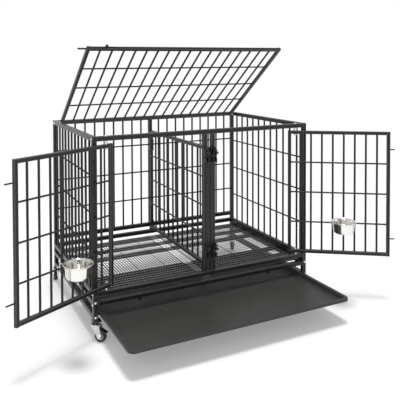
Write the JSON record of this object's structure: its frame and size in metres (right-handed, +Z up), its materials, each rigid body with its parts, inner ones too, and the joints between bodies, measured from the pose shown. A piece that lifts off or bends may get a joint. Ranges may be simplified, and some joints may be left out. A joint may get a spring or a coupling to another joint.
{
  "type": "dog crate",
  "caption": "Wheeled steel wire dog crate with two front doors, an opening lid, a lift-out divider, hanging bowls and a slide-out tray.",
  "frame": {"origin": "on the floor under the middle of the crate's footprint", "axes": "+X to the crate's right as seen from the front, +Y to its rear, +Z up"},
  "size_m": [1.7911, 1.096, 1.223],
  "materials": {
    "powder_coat": "satin charcoal powder coat",
    "zinc": "bright zinc plate",
    "stainless": "polished stainless steel",
    "tray_plastic": "matte moulded plastic",
    "latch_black": "satin black",
    "hub_plastic": "matte",
    "tyre_rubber": "matte"
  },
  "bodies": {
    "crate": {"left_side_panel": "powder_coat", "right_side_panel": "powder_coat", "rear_panel": "powder_coat", "front_top_rail": "powder_coat", "front_sill_rail": "powder_coat", "centre_posts": "powder_coat", "legs": "powder_coat", "base_front_rail": "powder_coat", "base_rear_rail": "powder_coat", "rear_sill_rail": "powder_coat", "base_side_rails": "powder_coat", "lower_side_rails": "powder_coat", "tray_runners": "powder_coat", "cross_bars": "powder_coat", "left_floor_grid": "powder_coat", "right_floor_grid": "powder_coat", "divider_guides": "powder_coat", "frame_bolts": "zinc", "door_pivot_bolts": "zinc", "lid_pivot_bolts": "zinc", "pivot_spacers": "zinc", "latch_housings": "latch_black", "caster_plates": "powder_coat", "caster_kingpins": "zinc"},
    "left_door": {"left_door_frame": "powder_coat", "left_strike_pins": "powder_coat", "left_bowl_hanger": "stainless"},
    "left_bowl": {"left_bowl": "stainless"},
    "right_door": {"right_door_frame": "powder_coat", "right_strike_pins": "powder_coat", "right_bowl_hanger": "stainless"},
    "right_bowl": {"right_bowl": "stainless"},
    "lid": {"lid_frame": "powder_coat"},
    "lid_bolt": {"lid_bolt": "zinc"},
    "tray": {"tray": "tray_plastic"},
    "left_tray_clip": {"left_tray_clip": "powder_coat"},
    "right_tray_clip": {"right_tray_clip": "powder_coat"},
    "divider": {"divider": "powder_coat"},
    "upper_left_pawl": {"upper_left_pawl": "latch_black"},
    "upper_right_pawl": {"upper_right_pawl": "latch_black"},
    "lower_left_pawl": {"lower_left_pawl": "latch_black"},
    "lower_right_pawl": {"lower_right_pawl": "latch_black"},
    "front_left_caster": {"front_left_fork": "zinc", "front_left_axle": "zinc"},
    "front_left_wheel": {"front_left_hub": "hub_plastic", "front_left_tyre": "tyre_rubber"},
    "front_left_brake": {"front_left_brake": "powder_coat"},
    "front_right_caster": {"front_right_fork": "zinc", "front_right_axle": "zinc"},
    "front_right_wheel": {"front_right_hub": "hub_plastic", "front_right_tyre": "tyre_rubber"},
    "front_right_brake": {"front_right_brake": "powder_coat"},
    "rear_left_caster": {"rear_left_fork": "zinc", "rear_left_axle": "zinc"},
    "rear_left_wheel": {"rear_left_hub": "hub_plastic", "rear_left_tyre": "tyre_rubber"},
    "rear_right_caster": {"rear_right_fork": "zinc", "rear_right_axle": "zinc"},
    "rear_right_wheel": {"rear_right_hub": "hub_plastic", "rear_right_tyre": "tyre_rubber"}
  },
  "joints": [
    {"name": "left_door_hinge", "type": "hinge", "parent": "crate", "child": "left_door", "pos_m": [-0.48, -0.345, 0.5], "axis": [0, 0, 1], "range_deg": [0, 154]},
    {"name": "left_bowl_lift", "type": "slide", "parent": "left_door", "child": "left_bowl", "axis": [0, 0, 1], "range_m": [0, 0.05]},
    {"name": "right_door_hinge", "type": "hinge", "parent": "crate", "child": "right_door", "pos_m": [0.48, -0.345, 0.5], "axis": [0, 0, -1], "range_deg": [0, 146]},
    {"name": "right_bowl_lift", "type": "slide", "parent": "right_door", "child": "right_bowl", "axis": [0, 0, 1], "range_m": [0, 0.05]},
    {"name": "lid_hinge", "type": "hinge", "parent": "crate", "child": "lid", "pos_m": [0, 0.317, 0.832], "axis": [-1, 0, 0], "range_deg": [-37, 83]},
    {"name": "lid_bolt_slide", "type": "slide", "parent": "lid", "child": "lid_bolt", "axis": [1, 0, 0], "range_m": [0, 0.041]},
    {"name": "tray_slide", "type": "slide", "parent": "crate", "child": "tray", "axis": [0, 1, 0], "range_m": [-0.27, 0.343]},
    {"name": "left_tray_clip_turn", "type": "hinge", "parent": "crate", "child": "left_tray_clip", "pos_m": [-0.295, -0.333, 0.153], "axis": [0, 1, 0], "range_deg": [-60, 30]},
    {"name": "right_tray_clip_turn", "type": "hinge", "parent": "crate", "child": "right_tray_clip", "pos_m": [0.295, -0.333, 0.153], "axis": [0, -1, 0], "range_deg": [-60, 30]},
    {"name": "divider_lift", "type": "slide", "parent": "crate", "child": "divider", "axis": [0, 0, 1], "range_m": [0, 0.05]},
    {"name": "upper_left_pawl_hinge", "type": "hinge", "parent": "crate", "child": "upper_left_pawl", "pos_m": [-0.02, -0.366, 0.743], "axis": [1, 0, 0], "range_deg": [0, 72]},
    {"name": "upper_right_pawl_hinge", "type": "hinge", "parent": "crate", "child": "upper_right_pawl", "pos_m": [0.02, -0.366, 0.743], "axis": [1, 0, 0], "range_deg": [0, 72]},
    {"name": "lower_left_pawl_hinge", "type": "hinge", "parent": "crate", "child": "lower_left_pawl", "pos_m": [-0.02, -0.366, 0.312], "axis": [1, 0, 0], "range_deg": [0, 72]},
    {"name": "lower_right_pawl_hinge", "type": "hinge", "parent": "crate", "child": "lower_right_pawl", "pos_m": [0.02, -0.366, 0.312], "axis": [1, 0, 0], "range_deg": [0, 72]},
    {"name": "front_left_swivel", "type": "hinge", "parent": "crate", "child": "front_left_caster", "pos_m": [-0.53, -0.345, 0.065], "axis": [0, 0, 1], "continuous": true},
    {"name": "front_left_wheel_spin", "type": "hinge", "parent": "front_left_caster", "child": "front_left_wheel", "pos_m": [-0.51329, -0.36492, 0.025], "axis": [0.766, 0.6428, 0], "continuous": true},
    {"name": "front_left_brake_lift", "type": "hinge", "parent": "front_left_caster", "child": "front_left_brake", "pos_m": [-0.5165, -0.36109, 0.0562], "axis": [-0.766, -0.6428, 0], "range_deg": [0, 20]},
    {"name": "front_right_swivel", "type": "hinge", "parent": "crate", "child": "front_right_caster", "pos_m": [0.53, -0.345, 0.065], "axis": [0, 0, 1], "continuous": true},
    {"name": "front_right_wheel_spin", "type": "hinge", "parent": "front_right_caster", "child": "front_right_wheel", "pos_m": [0.53, -0.371, 0.025], "axis": [1, 0, 0], "continuous": true},
    {"name": "front_right_brake_lift", "type": "hinge", "parent": "front_right_caster", "child": "front_right_brake", "pos_m": [0.53, -0.366, 0.0562], "axis": [-1, 0, 0], "range_deg": [0, 20]},
    {"name": "rear_left_swivel", "type": "hinge", "parent": "crate", "child": "rear_left_caster", "pos_m": [-0.53, 0.345, 0.065], "axis": [0, 0, 1], "continuous": true},
    {"name": "rear_left_wheel_spin", "type": "hinge", "parent": "rear_left_caster", "child": "rear_left_wheel", "pos_m": [-0.53, 0.371, 0.025], "axis": [-1, 0, 0], "continuous": true},
    {"name": "rear_right_swivel", "type": "hinge", "parent": "crate", "child": "rear_right_caster", "pos_m": [0.53, 0.345, 0.065], "axis": [0, 0, 1], "continuous": true},
    {"name": "rear_right_wheel_spin", "type": "hinge", "parent": "rear_right_caster", "child": "rear_right_wheel", "pos_m": [0.54565, 0.36577, 0.025], "axis": [-0.7986, 0.6018, 0], "continuous": true}
  ]
}
